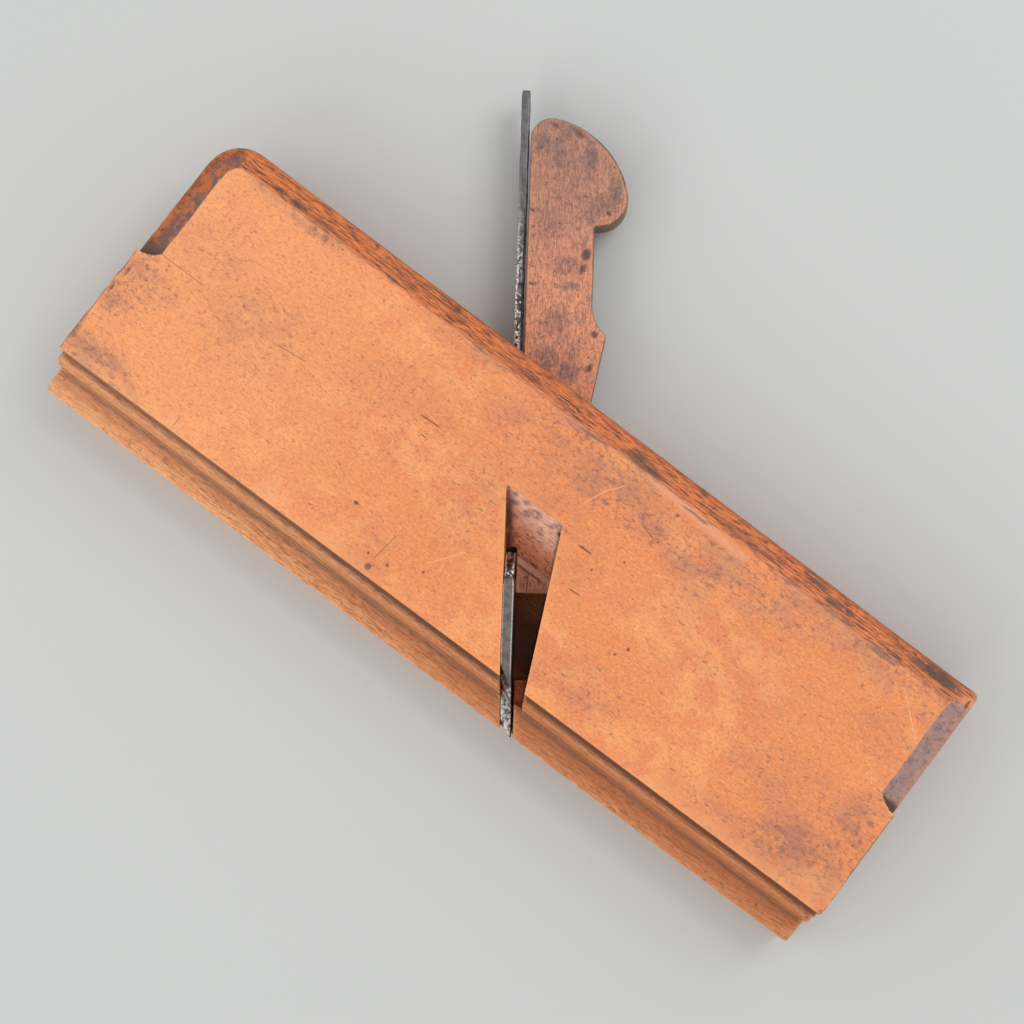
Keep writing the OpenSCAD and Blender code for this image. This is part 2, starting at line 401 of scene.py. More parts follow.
def throat_parts(skin):
    """Which vertices lie in the throat, and which of them on its sloping top."""
    along, front = bed_place(skin.co)
    h, z = height(skin.co), skin.co[:, 2]
    breast = BREAST_GAP + math.tan(WEDGE_ANGLE) * along
    inside = (front > -0.35) & (front < breast + 0.35) & (h < RAMP_TOP_H + 0.3)
    inside &= (z > CHEEK_T - 0.5) & (z < STOCK_T - 0.3)
    inside &= (h > BAND_H) | (skin.normal[:, 2] < 0.5)
    ramp = inside & (np.abs(z - ramp_z(h)) < 3.5)
    ramp &= (h > RAMP_LOW_H - 0.5) & (skin.normal[:, 2] > 0.2)
    return inside, ramp


# Chips and nicks along the stock's edges: (x, height, z), radii, depth and the way they go
CHIPS = [
    ((64, 0.2, 13.5), (2.6, 1.2, 1.5), 0.9, (0, 0.7, -0.7)),
    ((71, 0.1, 13.5), (3.2, 1.0, 1.4), 0.6, (0, 0.7, -0.7)),
    ((-8, 0.1, 13.5), (4.5, 0.9, 1.3), 0.45, (0, 0.7, -0.7)),
    ((-62, 0.1, 13.5), (5.0, 0.9, 1.2), 0.45, (0, 0.7, -0.7)),
    ((-84, 0.1, 13.5), (3.0, 0.9, 1.2), 0.4, (0, 0.7, -0.7)),
    ((95, 0.1, 13.5), (4.0, 0.9, 1.2), 0.4, (0, 0.7, -0.7)),
    ((120.6, 0.2, 13.5), (2.0, 2.2, 2.0), 0.9, (-0.6, 0.5, -0.6)),
    ((-121.5, 0.4, 13.5), (1.6, 1.8, 1.6), 0.5, (0.6, 0.5, -0.6)),
    ((120.2, 9.0, 21.5), (1.8, 1.6, 2.2), 0.8, (-0.6, 0.5, -0.6)),
    ((120.4, 12.4, 28), (1.4, 1.4, 1.2), 0.5, (-0.6, 0.4, -0.6)),
    ((30.8, 81.2, 23.5), (1.3, 1.2, 1.3), 0.7, (0, -0.7, -0.7)),
    ((34.5, 81.4, 23.2), (1.0, 0.8, 1.0), 0.4, (0, -0.7, -0.7)),
    ((119.6, 76.8, 25.4), (0.8, 1.9, 0.9), 0.9, (-0.6, 0, -0.8)),
    ((-120.3, 32.6, 27.8), (0.9, 2.2, 1.2), 0.4, (0.7, 0, -0.7)),
    ((-119.2, 38.0, 27.9), (0.8, 3.0, 1.0), 0.3, (0.7, 0, -0.7)),
    ((8.2, 7.6, 22.0), (2.0, 1.0, 1.0), 0.4, (0, 0.7, -0.7)),
    ((-50, 12.2, 28), (2.5, 0.9, 0.9), 0.25, (0, 0.7, -0.7)),
    ((24, 12.2, 28), (1.6, 1.2, 1.2), 0.35, (-0.3, 0.6, -0.7)),
]

# Soft patches of dirt on the near side: x, height, half length, half width and strength
PATCHES = [
    (6, 73, 24, 8, 0.75), (14, 66, 15, 7, 0.8), (27, 65, 14, 5, 0.85), (40, 67, 22, 7, 0.6),
    (58, 68, 22, 7, 0.7), (78, 72, 20, 7, 0.5), (72, 77, 12, 3, 0.9), (84, 76.5, 12, 3, 0.8),
    (36, 22, 16, 8, 0.4), (-8, 66, 18, 8, 0.5), (44, 65, 12, 6, 0.8), (-12, 50, 12, 8, 0.35),
    (-35, 75.5, 18, 3, 0.5), (-8, 75, 14, 4, 0.5), (-84, 76, 14, 3, 0.8), (-101, 78, 9, 4, 0.5),
    (-116, 36, 8, 12, 0.8), (-111, 40, 9, 6, 0.5), (-113, 15, 13, 6, 0.8), (-104, 13, 9, 3, 0.8),
    (-84, 45, 20, 14, 0.35), (-104, 55, 12, 14, 0.3), (104, 75.5, 18, 4, 1.0), (96, 73, 18, 5, 0.75),
    (112, 70, 7, 6, 0.5), (109, 58, 12, 7, 0.4), (106, 21, 15, 9, 0.9), (115, 30, 8, 20, 0.75),
    (88, 17, 20, 5, 0.5), (96, 33, 22, 9, 0.4), (-10, 44, 8, 15, 0.4), (2, 57, 14, 6, 0.4),
    (-26, 18, 8, 7, 0.35), (-40, 52, 20, 12, 0.25), (60, 50, 30, 12, 0.2), (14, 48, 12, 9, 0.3),
]

# Dark patches on the top chamfer, in the same terms
TOP_PATCHES = [
    (109.5, 78.4, 7, 1.7, 1.0), (103, 78.2, 3, 1.2, 0.9), (81.5, 77.6, 1.6, 1.0, 0.9),
    (97, 78.4, 1.6, 0.8, 0.8), (17, 76.9, 7, 1.6, 0.8), (71, 79.0, 4, 1.0, 0.8),
    (77, 77.4, 3, 1.2, 0.8), (-99.7, 78.2, 2.4, 0.7, 1.0), (-94, 78.0, 3, 0.8, 0.9),
    (-85, 78.0, 4, 0.8, 0.7), (-113.7, 76.4, 0.9, 0.8, 1.0), (-45, 80.6, 1.2, 0.8, 0.9),
    (34, 80.6, 1.6, 0.9, 0.9), (-20, 77.8, 8, 0.8, 0.5), (50, 77.0, 9, 1.0, 0.5), (-60, 78.5, 6, 0.8, 0.5),
]


def wear_stock(skin):
    """Rounds what hands have rounded, and dents and chips the rest."""
    x, h = skin.co[:, 0], height(skin.co)
    top = ease(h, 70, 75) * (0.1 + 0.9 * ease(x, -110, 50)) * ease(x, 121, 112)
    skin.soften(50, top)
    skin.soften(2, 0.7)

    # The sloping top of the escapement is hollow, and runs into the bed in a fillet that grows downwards
    h, z = height(skin.co), skin.co[:, 2]
    _, front = bed_place(skin.co)
    on_ramp = (np.abs(z - ramp_z(h)) < 1) & (h > RAMP_LOW_H - 0.5) & (h < RAMP_TOP_H)
    on_ramp &= (skin.normal[:, 2] > 0.3) & (front > -0.3) & (front < 16)
    fillet = 2.4 * ease(h, RAMP_TOP_H, RAMP_LOW_H + 2)
    rise = fillet - np.sqrt(np.clip(fillet**2 - np.clip(fillet - front, 0, None) ** 2, 0, None))
    hollow = 0.5 * np.clip(1 - ((h - 46) / 6.5) ** 2, 0, 1) * ease(front, 1, 5)
    skin.co[on_ramp, 2] += (rise - hollow)[on_ramp]

    # The inner corner of the sole's band is a small cove
    h, z = height(skin.co), skin.co[:, 2]
    cove = 1.6
    out = np.clip(cove - (BAND_H - h), 0, cove)
    on_band = (np.abs(z - BAND_Z) < 0.6) & (h < BAND_H + 0.4) & (skin.normal[:, 2] > 0.5)
    skin.co[on_band, 2] += (cove - np.sqrt(cove**2 - out**2))[on_band]

    # Slow waves that a hand plane and long use leave. In the throat they only widen it.
    skin.find_normals()
    wave = 0.05 * noise(skin.co, (40, 14, 14), 3) + 0.03 * noise(skin.co, (9, 4, 4), 5)
    fine = 0.025 * noise(skin.co, (2.5, 1.2, 1.2), 6)
    inside, _ = throat_parts(skin)
    wave = np.where(inside, -np.abs(wave), wave + fine) * (1 - ease(skin.co[:, 2], 1.0, 0.2))
    skin.co += wave[:, None] * skin.normal

    # The chips, then small dents in the near face, the top chamfer and the edge of the sole's band
    for centre, radius, depth, push in CHIPS:
        skin.press(np.array(centre) + (0, SOLE_Y, 0), np.array(radius), depth, push)
    random = np.random.default_rng(11)
    for _ in range(90):
        at = (random.uniform(-118, 118), random.uniform(-26, 40), STOCK_T)
        skin.press(np.array(at), random.uniform(0.9, 2.4), random.uniform(0.03, 0.08), (0, 0, -1))
    for _ in range(40):
        at = (random.uniform(-108, 116), random.uniform(37, 40.9), random.uniform(22, 27))
        skin.press(np.array(at), random.uniform(0.6, 1.8), random.uniform(0.08, 0.3), (0, -0.7, -0.7))
    for _ in range(26):
        at = (random.uniform(-120, 120), SOLE_Y + 0.1, BAND_Z)
        radius = (random.uniform(0.6, 2.5), 0.7, 0.8)
        skin.press(np.array(at), radius, random.uniform(0.1, 0.35), (0, 0.7, -0.7))


def paint_stock(skin):
    """Where each finish of the stock lies, and where shade is painted."""
    x, h, z = skin.co[:, 0], height(skin.co), skin.co[:, 2]
    _, front = bed_place(skin.co)
    normal = skin.normal
    skin.store("dirt", patches(x, h, PATCHES, 1.5, 0.0) * (normal[:, 2] > 0.3))

    # The slanted strips along both ends of the near face. The toe's runs out in a ragged line at its top.
    slanted = ease(normal[:, 2], 0.965, 0.93) * ease(normal[:, 2], 0.3, 0.5)
    heel = slanted * ease(-normal[:, 0], 0.15, 0.3) * ease(x, -100, -108) * ease(z, 22, 23)
    toe = slanted * ease(normal[:, 0], 0.2, 0.35) * ease(x, 108, 112) * ease(z, 22, 23)
    ragged = noise(skin.co, (2.2, 1.6, 1.6), 41)
    toe *= ease(h + 2.2 * ragged - 0.75 * (x - 114), 74.5, 72.5)
    skin.store("heel_chamfer", heel)
    skin.store("toe_chamfer", toe)

    # The rolled top, the faint line where it leaves the near face, and the dark patches along it
    roll = ease(normal[:, 1], 0.1, 0.4) * ease(h, 70, 73)
    skin.store("top_edge", np.maximum(roll, ease(normal[:, 1], 0.6, 0.8)))
    skin.store("seam", ease(normal[:, 1], 0.02, 0.09) * ease(normal[:, 1], 0.42, 0.2) * ease(h, 68, 72))
    skin.store("grime", patches(x, h, TOP_PATCHES, 1.5, 0.2))

    # The moulded sole, and painted shade in the corner between its steps and the near face's lower edge
    below = ease(h, NEAR_EDGE_H + 0.3, NEAR_EDGE_H - 0.2) * ease(z, 27.95, 27.5)
    skin.store("sole", np.maximum(below, ease(-normal[:, 1], 0.5, 0.8) * (h < NEAR_EDGE_H + 1)))
    painted_quirk_shade = ease(h, NEAR_EDGE_H - 0.1, NEAR_EDGE_H - 0.4) * ease(h, 10.1, 10.9) * ease(z, 19.0, 20.5)
    skin.store("painted_quirk_shade", painted_quirk_shade * (0.45 + 0.45 * ease(x, -110, 20)))

    # The throat: its sloping top, the rest of it, and dirt with painted shade where the sloping top runs
    # into the bed
    inside, ramp = throat_parts(skin)
    skin.store("ramp", ramp.astype(float))
    skin.store("throat", (inside & ~ramp).astype(float))
    skin.store("wall", np.where(ramp, ease(front, 2.8, 0.4) * ease(h, RAMP_TOP_H + 1.5, 46), 0))

    # The end grain of heel and toe, and the line round the near face's chamfers where they reach full depth
    ends = ease(np.abs(normal[:, 0]), 0.8, 0.95) * (np.abs(x) > 100)
    skin.store("end_grain", ends)
    upright = ease(normal[:, 2], 0.75, 0.5)
    rim = upright * ease(np.abs(z - (STOCK_T - CHAMFER_D)), 0.75, 0.2) * (h > 42)
    skin.store("rim", rim * (0.6 + 0.4 * (np.abs(x) > 100)))


def make_stock(material):
    """The beech stock, worn, chipped and dented."""
    skin = even_skin("stock", "worn_stock", STOCK_VOXEL)
    wear_stock(skin)
    skin.find_normals()
    skin.store_bends(6, 0.14)
    skin.keep_inside("stock")
    skin = thin_out(skin, STOCK_TRIANGLES)
    paint_stock(skin)
    place_piece(skin.piece, "stock", material)


def make_iron(material):
    """The iron, with a smooth blade and a rough forged tang."""
    skin = even_skin("iron", "forged_iron", IRON_VOXEL)
    skin.soften(1, 0.8)
    along, _ = bed_place(skin.co)
    tang = ease(along, BLADE_END, 43)
    shoulder = ease(along, 37.5, 40) * ease(along, 52, 48)
    skin.soften(8, np.maximum(0.5 * tang, shoulder))

    # Hammer marks and rust pits on the tang and the shoulder. In the stock they go almost only inwards.
    rough = np.maximum(tang, shoulder)
    pitted = rough * (0.3 + 0.7 * ease(along, 135, 105))
    free = ease(along, 94, 98)
    lumps = 0.09 * noise(skin.co, (4, 4, 4), 21) + 0.07 * noise(skin.co, (1.6, 1.6, 1.6), 22)
    lumps -= 0.12 * (1 - free)
    pits = -0.2 * ease(noise(skin.co, (0.9, 0.9, 0.9), 23), 0.2, 0.7)
    blade = 0.012 * noise(skin.co, (3, 3, 3), 24) - 0.012
    skin.co += (lumps * rough + pits * pitted + blade)[:, None] * skin.normal
    skin.soften(1, 0.7)
    skin.store_bends(6, 0.1)
    skin.keep_inside("iron")
    skin = thin_out(skin, SMALL_PIECE_TRIANGLES)

    # Where its finishes lie: black and rusty above the blade, and rubbed bright on the blade's near
    # corners. Painted highlights and painted shade lie here too.
    along, front = bed_place(skin.co)
    h = height(skin.co)
    near = ease(skin.normal[:, 2], 0.5, 0.8)
    skin.store("tang", ease(along, 39.0, 39.8))
    tang_rust = ease(along, 150, 115) * ease(along, 60, 64)
    shoulder_rust = ease(along, 39.4, 40.6) * ease(along, 64, 60)
    skin.store("rust", np.maximum(tang_rust, shoulder_rust))
    sides = np.maximum(ease(front, 0.35, 0.15), ease(front, BLADE_T - 0.45, BLADE_T - 0.25))
    skin.store("arris", near * sides * ease(along, 39.5, 38.5) * ease(along, 13, 18))
    in_bed_frame = np.stack([along, front, skin.co[:, 2]], axis=1)
    streak = ease(noise(in_bed_frame, (1.6, 0.5, 3), 25), 0.05, 0.3)
    # Painted highlight: near-white streaks on the forged shoulder
    skin.store("painted_shoulder_highlight", streak * ease(along, 40, 40.8) * ease(along, 47.5, 46.5) * ease(front, 1.9, 1.5))
    skin.store("shoulder", ease(along, 60, 50))
    # Painted shade: a near-black strip on the tang's near side, where the gap beside the wedge is in shadow
    skin.store("shade", near * ease(front, 1.35, 1.8) * ease(along, 150, 128) * ease(along, 92, 96))

    # The dark corner at its low end, a painted highlight along the bevel above that, and the ground end
    low_side = ease(along - 0.45 * front, 10.0, 10.5)
    skin.store("corner", near * low_side * ease(front - 0.47 * (18.0 - along), 0.1, -0.1))
    skin.store("bevel", near * ease(np.abs(along + 1.55 * front - 10.5), 0.6, 0.2))
    across = skin.normal[:, 0] * math.sin(BED_ANGLE) + skin.normal[:, 1] * math.cos(BED_ANGLE)
    skin.store("ground", ease(h, 12.2, 11.2) * ease(np.abs(across), 0.95, 0.75))
    skin.store("low", ease(h, 13, 9))
    place_piece(skin.piece, "iron", material)


# Chips of the wedge: distance down from the crown, in front of the bed, z, radii and depth
WEDGE_CHIPS = [
    (36, 18.3, 13.2, (1.6, 2.6, 1.4), 0.6),
    (40, 17.4, 13.3, (1.2, 2.2, 1.0), 0.4),
    (57, 21.2, 13.2, (1.4, 1.4, 1.2), 0.5),
    (66, 20.0, 13.3, (1.2, 2.4, 1.0), 0.4),
    (4, 15.5, 13.2, (3.2, 1.6, 1.4), 0.5),
    (25, 24.0, 12.8, (1.6, 1.2, 1.4), 0.4),
    (2, 9.0, 13.2, (2.0, 1.2, 1.2), 0.3),
    (24.6, 3.6, 13.3, (1.6, 0.4, 0.5), 0.25),
    (44, 4.0, 13.3, (1.4, 0.4, 0.5), 0.2),
]

# Grey-purple stains of the wedge's near side: place along the bed, in front of it, half sizes and strength
WEDGE_STAINS = [
    (154, 6, 3.5, 2.5, 0.8), (151.5, 10.5, 5, 2, 0.7), (157.5, 13, 2.5, 3, 0.8), (150.5, 18.8, 5, 2, 0.9),
    (141, 25.5, 5, 2.2, 0.9), (138, 21.3, 3, 4, 0.8), (135, 18.8, 2.5, 2, 0.8), (133, 8, 6, 4, 0.5),
    (122, 14, 2.5, 5, 0.7), (116.5, 14, 1.2, 3, 0.7), (107.5, 11, 4, 4, 0.6), (94, 14.5, 3, 3, 0.9),
    (97, 9, 3.5, 4, 0.8), (143, 13, 12, 6, 0.3), (126, 17.8, 3, 0.7, 0.7), (160, 9, 3, 6, 0.4),
    (136.4, 5, 0.5, 2, 1.0), (117, 4.6, 0.5, 1.6, 0.9), (124.9, 18.4, 2, 1.2, 1.0), (99, 15.5, 3, 2, 0.6),
]

# Cracks in the wedge's low end: from x, height to x, height, and width
WEDGE_CRACKS = [
    (9.8, 37.0, 12.2, 32.9, 0.3), (9.4, 35.8, 11.4, 32.9, 0.18), (5.2, 37.2, 14.0, 37.2, 0.4),
]


def make_wedge(material):
    """The wedge, worn where it stands out of the stock, and most of all at the finial's nose."""
    skin = even_skin("wedge", "worn_wedge", WEDGE_VOXEL)
    along, front = bed_place(skin.co)
    crown = along.max()
    free = ease(along, 96, 100)
    nose = ease(front, 15, 20) * ease(along, crown - 40, crown - 30) * ease(skin.co[:, 2], 8, 11)
    skin.soften(1, 0.7)
    skin.soften(5, free)
    skin.soften(16, np.clip(nose, 0, 1))

    wave = 0.05 * noise(skin.co, (7, 12, 7), 31) + 0.04 * noise(skin.co, (2.5, 4, 2.5), 32)
    skin.co += (wave * free)[:, None] * skin.normal
    for down, in_front, z, radius, depth in WEDGE_CHIPS:
        skin.press(from_bed(crown - down, in_front, z), np.array(radius), depth)
    skin.find_normals()
    skin.store_bends(8, 0.14)
    skin.keep_inside("wedge")
    skin = thin_out(skin, SMALL_PIECE_TRIANGLES)

    # Where its finishes lie: stains, painted shade on the narrow sides and darker on the nose, their
    # outline, and a pale strip low on its near side
    along, front = bed_place(skin.co)
    skin.store("stain", patches(along, front, WEDGE_STAINS, 1.6, 0.0))
    side = 1 - ease(np.abs(skin.normal[:, 2]), 0.5, 0.85)
    skin.store("nose", side * ease(front, 16, 19) * ease(along, crown - 20, crown - 27))
    skin.store("side", side)
    skin.store("lower", ease(along, 158, 108))
    slanted = ease(skin.normal[:, 2], 0.97, 0.85) * ease(skin.normal[:, 2], 0.35, 0.6)
    skin.store("outline", slanted * ease(front, 1, 3))
    h = height(skin.co)
    skin.store("strip", ease(h, 37.4, 37.8) * ease(h, 39.3, 38.9) * ease(skin.co[:, 2], 12.5, 13.1))
    place_piece(skin.piece, "wedge", material)


# Materials

class Surface:
    """A material's node tree, built a step at a time. Places are in millimetres, with Y from the sole.

    A value may be a number, a colour or the output of an earlier step.
    """

    def __init__(self, name):
        self.material = bpy.data.materials.new(name)
        self.material.use_nodes = True
        self.tree = self.material.node_tree
        self.shader = self.tree.nodes["Principled BSDF"]
        place = self.tree.nodes.new("ShaderNodeTexCoord").outputs["Object"]
        self.place = self.vector("MULTIPLY_ADD", place, (1 / MM, 1 / MM, 1 / MM), (0, -SOLE_Y, 0))

    def put(self, socket, value):
        """Gives an input its value."""
        if isinstance(value, bpy.types.NodeSocket):
            self.tree.links.new(value, socket)
        elif socket.type == "RGBA":
            socket.default_value = (*value, 1)
        else:
            socket.default_value = value

    def vector(self, operation, a, b=None, c=None, out="Vector"):
        """One step of vector maths."""
        node = self.tree.nodes.new("ShaderNodeVectorMath")
        node.operation = operation
        for socket, value in zip(node.inputs, (a, b, c)):
            if value is not None:
                self.put(socket, value)
        return node.outputs[out]

    def maths(self, operation, a, b=0.0):
        """One step of maths on single numbers."""
        node = self.tree.nodes.new("ShaderNodeMath")
        node.operation = operation
        self.put(node.inputs[0], a)
        self.put(node.inputs[1], b)
        return node.outputs[0]

    def times(self, *values):
        """The product of all the values."""
        out = values[0]
        for value in values[1:]:
            out = self.maths("MULTIPLY", out, value)
        return out

    def step(self, value, low, high, bottom=0.0, top=1.0):
        """Bottom at low and top at high, with a smooth step between. Low may be the larger."""
        node = self.tree.nodes.new("ShaderNodeMapRange")
        node.interpolation_type = "SMOOTHSTEP"
        self.put(node.inputs["Value"], value)
        node.inputs["From Min"].default_value = min(low, high)
        node.inputs["From Max"].default_value = max(low, high)
        node.inputs["To Min"].default_value = bottom if low < high else top
        node.inputs["To Max"].default_value = top if low < high else bottom
        return node.outputs["Result"]

    def noise(self, scale, detail=2.0, rough=0.5, shift=0.0, along_bed=False):
        """Noise from 0 to 1. The scale is in features per millimetre along X, Y and Z.

        With along_bed, Y runs up the bed and X across it.
        """
        place = self.place
        if along_bed:
            turned = self.tree.nodes.new("ShaderNodeVectorRotate")
            turned.rotation_type = "Z_AXIS"
            turned.inputs["Angle"].default_value = BED_ANGLE - math.pi / 2
            self.put(turned.inputs["Vector"], self.place)
            place = turned.outputs["Vector"]
        node = self.tree.nodes.new("ShaderNodeTexNoise")
        scaled = self.vector("MULTIPLY_ADD", place, scale, (shift, shift, shift))
        self.put(node.inputs["Vector"], scaled)
        node.inputs["Scale"].default_value = 1
        node.inputs["Detail"].default_value = detail
        node.inputs["Roughness"].default_value = rough
        return node.outputs["Fac"]

    def stored(self, name):
        """A number that Skin.store kept for each vertex."""
        node = self.tree.nodes.new("ShaderNodeAttribute")
        node.attribute_name = name
        return node.outputs["Fac"]

    def axis(self, name):
        """The place's X, Y or Z."""
        node = self.tree.nodes.new("ShaderNodeSeparateXYZ")
        self.put(node.inputs[0], self.place)
        return node.outputs[name]

    def mix(self, amount, a, b):
        """Colour a where the amount is 0, and b where it is 1."""
        node = self.tree.nodes.new("ShaderNodeMix")
        node.data_type = "RGBA"
        colours = [s for s in node.inputs if s.type == "RGBA"]
        self.put(node.inputs["Factor"], amount)
        self.put(colours[0], a)
        self.put(colours[1], b)
        return next(s for s in node.outputs if s.type == "RGBA")

    def spot(self, x, h, radius, soft, z=STOCK_T):
        """A round spot, 1 inside and 0 outside."""
        away = self.vector("SUBTRACT", self.place, (x, h, z))
        return self.step(self.vector("LENGTH", away, out="Value"), radius + soft, max(radius - soft, 0))

    def dash(self, x0, h0, x1, h1, width, soft=0.1, z=STOCK_T):
        """A straight mark from one point to another, 1 inside and 0 outside."""
        length = math.hypot(x1 - x0, h1 - h0)
        along = ((x1 - x0) / length, (h1 - h0) / length, 0)
        across = (-along[1], along[0], 0)
        away = self.vector("SUBTRACT", self.place, ((x0 + x1) / 2, (h0 + h1) / 2, z))
        sides = [
            (along, length / 2, min(length / 4, 0.8)),
            (across, width / 2, soft),
            ((0, 0, 1), 0.6, 0.3),
        ]
        parts = []
        for way, size, edge in sides:
            off = self.maths("ABSOLUTE", self.vector("DOT_PRODUCT", away, way, out="Value"))
            parts.append(self.step(off, size + edge, max(size - edge, 0)))
        return self.times(*parts)

    def finish(self, colour, roughness, relief, depth, metallic=0.0):
        """Connects the shader. The relief is a bump of a given depth in millimetres."""
        self.put(self.shader.inputs["Base Color"], colour)
        self.put(self.shader.inputs["Roughness"], roughness)
        self.put(self.shader.inputs["Metallic"], metallic)
        bump = self.tree.nodes.new("ShaderNodeBump")
        bump.inputs["Strength"].default_value = 1
        bump.inputs["Distance"].default_value = depth * MM
        self.put(bump.inputs["Height"], relief)
        self.put(self.shader.inputs["Normal"], bump.outputs["Normal"])
        return self.material


# Marks on the stock's near side. Spots: x, height, radius. Dashes: from x, height to x, height, width.
DARK_SPOTS = [
    (-23.9, 14.2, 0.9), (-20.1, 17.4, 0.45), (-11.6, 21.5, 0.4), (-36.0, 25.4, 0.5), (-25.8, 17.0, 0.35),
    (41.9, 36.8, 0.5), (40.0, 33.8, 0.35), (31.8, 71.6, 0.4), (22.5, 47.5, 0.3), (28.0, 54.0, 0.3),
]
DARK_DASHES = [
    (16.1, 50.6, 19.9, 50.7, 0.5), (20.6, 40.3, 24.1, 40.4, 0.35), (-36.1, 53.4, -30.4, 53.6, 0.4),
    (-33.1, 49.5, -31.7, 49.3, 0.3), (-36.7, 25.5, -35.0, 25.6, 0.4), (-23.9, 16.5, -22.7, 24.4, 0.15),
    (92.2, 75.2, 92.5, 78.3, 0.2), (92.5, 78.3, 93.7, 77.9, 0.2), (-116.4, 46.9, -101.0, 46.7, 0.1),
    (-76.6, 45.8, -68, 46.7, 0.2), (-85.5, 16.4, -85.6, 12.7, 0.15), (26.4, 64.2, 31.0, 63.0, 0.25),
]
LIGHT_DASHES = [
    (10.6, 59.6, 13.3, 65.6, 0.16), (13.3, 65.6, 16.9, 70.1, 0.2), (103.5, 70.7, 113.3, 61.9, 0.2),
    (-12.0, 24.0, -6.0, 32.0, 0.12), (36.0, 56.0, 39.5, 57.5, 0.15),
]
# A pale rubbed streak: from x, height to x, height, width and softness
RUBBED_STREAK = (20.0, 75.3, 52.2, 72.7, 1.2, 1.3)

# Grey stains on the escapement's sloping top: x, height, radius
RAMP_SPOTS = [
    (2.6, 50.3, 2.0), (0.6, 49.0, 1.4), (-1.0, 51.4, 1.2), (8.8, 51.2, 1.3), (-3.9, 49.6, 1.4),
    (5.6, 47.9, 0.7), (-4.6, 51.5, 1.0), (-1.8, 46.8, 0.8), (6.2, 46.9, 0.6), (7.6, 49.9, 0.8),
]
# A dark dash on it: from x, height to x, height, width and softness. And the height of its middle.
RAMP_DASH = (9.6, 51.3, 12.4, 47.6, 1.3, 0.5)
RAMP_DASH_H = 49.5


def bare_beech(s, fibre, mottle):
    """Golden beech with its fibres, ray flecks and soft clouds of colour."""
    cloud = s.noise((0.14, 0.19, 0.19), 3, 0.55, 5)
    broad = s.noise((0.025, 0.04, 0.04), 2, 0.5, 1)
    colour = s.mix(s.step(cloud, 0.36, 0.64), (0.95, 0.37, 0.125), (0.86, 0.265, 0.095))
    colour = s.mix(s.step(broad, 0.4, 0.6), colour, (0.86, 0.28, 0.09))
    colour = s.mix(s.step(s.axis("X"), -10, -110, 0, 0.6), colour, (1.0, 0.42, 0.17))
    colour = s.mix(s.step(mottle, 0.50, 0.64, 0, 0.55), colour, (0.62, 0.18, 0.08))
    colour = s.mix(s.step(mottle, 0.47, 0.36, 0, 0.5), colour, (1.0, 0.48, 0.2))
    return s.mix(s.step(fibre, 0.53, 0.68, 0, 0.4), colour, (0.52, 0.16, 0.075))


def dirty_beech(s, colour, speck):
    """Purple-grey dirt: a veil in the patches, and dark specks all over that are denser in the patches."""
    dirt = s.stored("dirt")
    smoke = s.noise((0.1, 0.2, 0.2), 4, 0.65, 8)
    colour = s.mix(s.times(s.step(smoke, 0.36, 0.66, 0.1, 0.8), dirt), colour, (0.4, 0.17, 0.12))
    loaded = s.maths("ADD", speck, s.times(dirt, 0.085))
    return s.mix(s.step(loaded, 0.555, 0.66, 0, 0.68), colour, (0.24, 0.1, 0.08))


def beech_edges(s, colour, speck, blotch):
    """The rolled top edge, the chamfers of the two ends, and the dark line round them."""
    streak = s.noise((0.22, 1.9, 1.9), 3, 0.7, 3)
    hair = s.noise((0.3, 4.5, 4.5), 2, 0.6, 23)
    across = s.axis("Z")
    top = s.mix(s.step(streak, 0.4, 0.6), (0.78, 0.2, 0.04), (0.42, 0.085, 0.015))
    top = s.mix(s.step(across, 25.8, 24.9, 0, 0.5), top, (0.6, 0.11, 0.015))
    top = s.mix(s.step(streak, 0.54, 0.61, 0, 0.88), top, (0.045, 0.016, 0.012))
    top = s.mix(s.step(hair, 0.545, 0.63, 0, 0.88), top, (0.035, 0.012, 0.008))
    grime = s.times(s.stored("grime"), s.step(blotch, 0.32, 0.5, 0.3, 0.95))
    top = s.mix(grime, top, (0.035, 0.02, 0.02))
    seam = s.noise((0.1, 0.5, 0.5), 3, 0.6, 12)
    colour = s.mix(s.times(s.stored("seam"), s.step(seam, 0.5, 0.62, 0, 0.8)), colour, (0.16, 0.1, 0.09))
    colour = s.mix(s.times(s.stored("top_edge"), 0.92), colour, top)

    heel = s.mix(s.step(blotch, 0.42, 0.58), (0.5, 0.12, 0.02), (0.22, 0.055, 0.015))
    heel = s.mix(s.step(speck, 0.53, 0.6, 0, 0.85), heel, (0.04, 0.02, 0.018))
    patchy = s.maths("ADD", s.times(blotch, 0.5), s.times(speck, 0.5))
    grey = s.times(s.step(across, 25.5, 26.8), s.step(patchy, 0.44, 0.5))
    heel = s.mix(s.times(grey, 0.9), heel, (0.115, 0.082, 0.085))
    heel = s.mix(s.step(s.axis("Y"), 51, 46, 0, 0.9), heel, (0.07, 0.04, 0.035))
    colour = s.mix(s.times(s.stored("heel_chamfer"), 0.95), colour, heel)

    toe = s.mix(s.step(blotch, 0.4, 0.66), (0.4, 0.225, 0.19), (0.33, 0.22, 0.215))
    toe = s.mix(s.step(across, 26.2, 25.2, 0, 0.6), toe, (0.5, 0.24, 0.18))
    toe = s.mix(s.step(speck, 0.5, 0.6, 0, 0.7), toe, (0.16, 0.09, 0.08))
    toe = s.mix(s.step(speck, 0.46, 0.38, 0, 0.5), toe, (0.5, 0.32, 0.28))
    toe = s.mix(s.step(s.axis("Y"), 46.3, 45.0, 0, 0.9), toe, (0.05, 0.035, 0.03))
    colour = s.mix(s.times(s.stored("toe_chamfer"), 0.97), colour, toe)

    return s.mix(s.times(s.stored("rim"), 0.85), colour, (0.07, 0.028, 0.018))


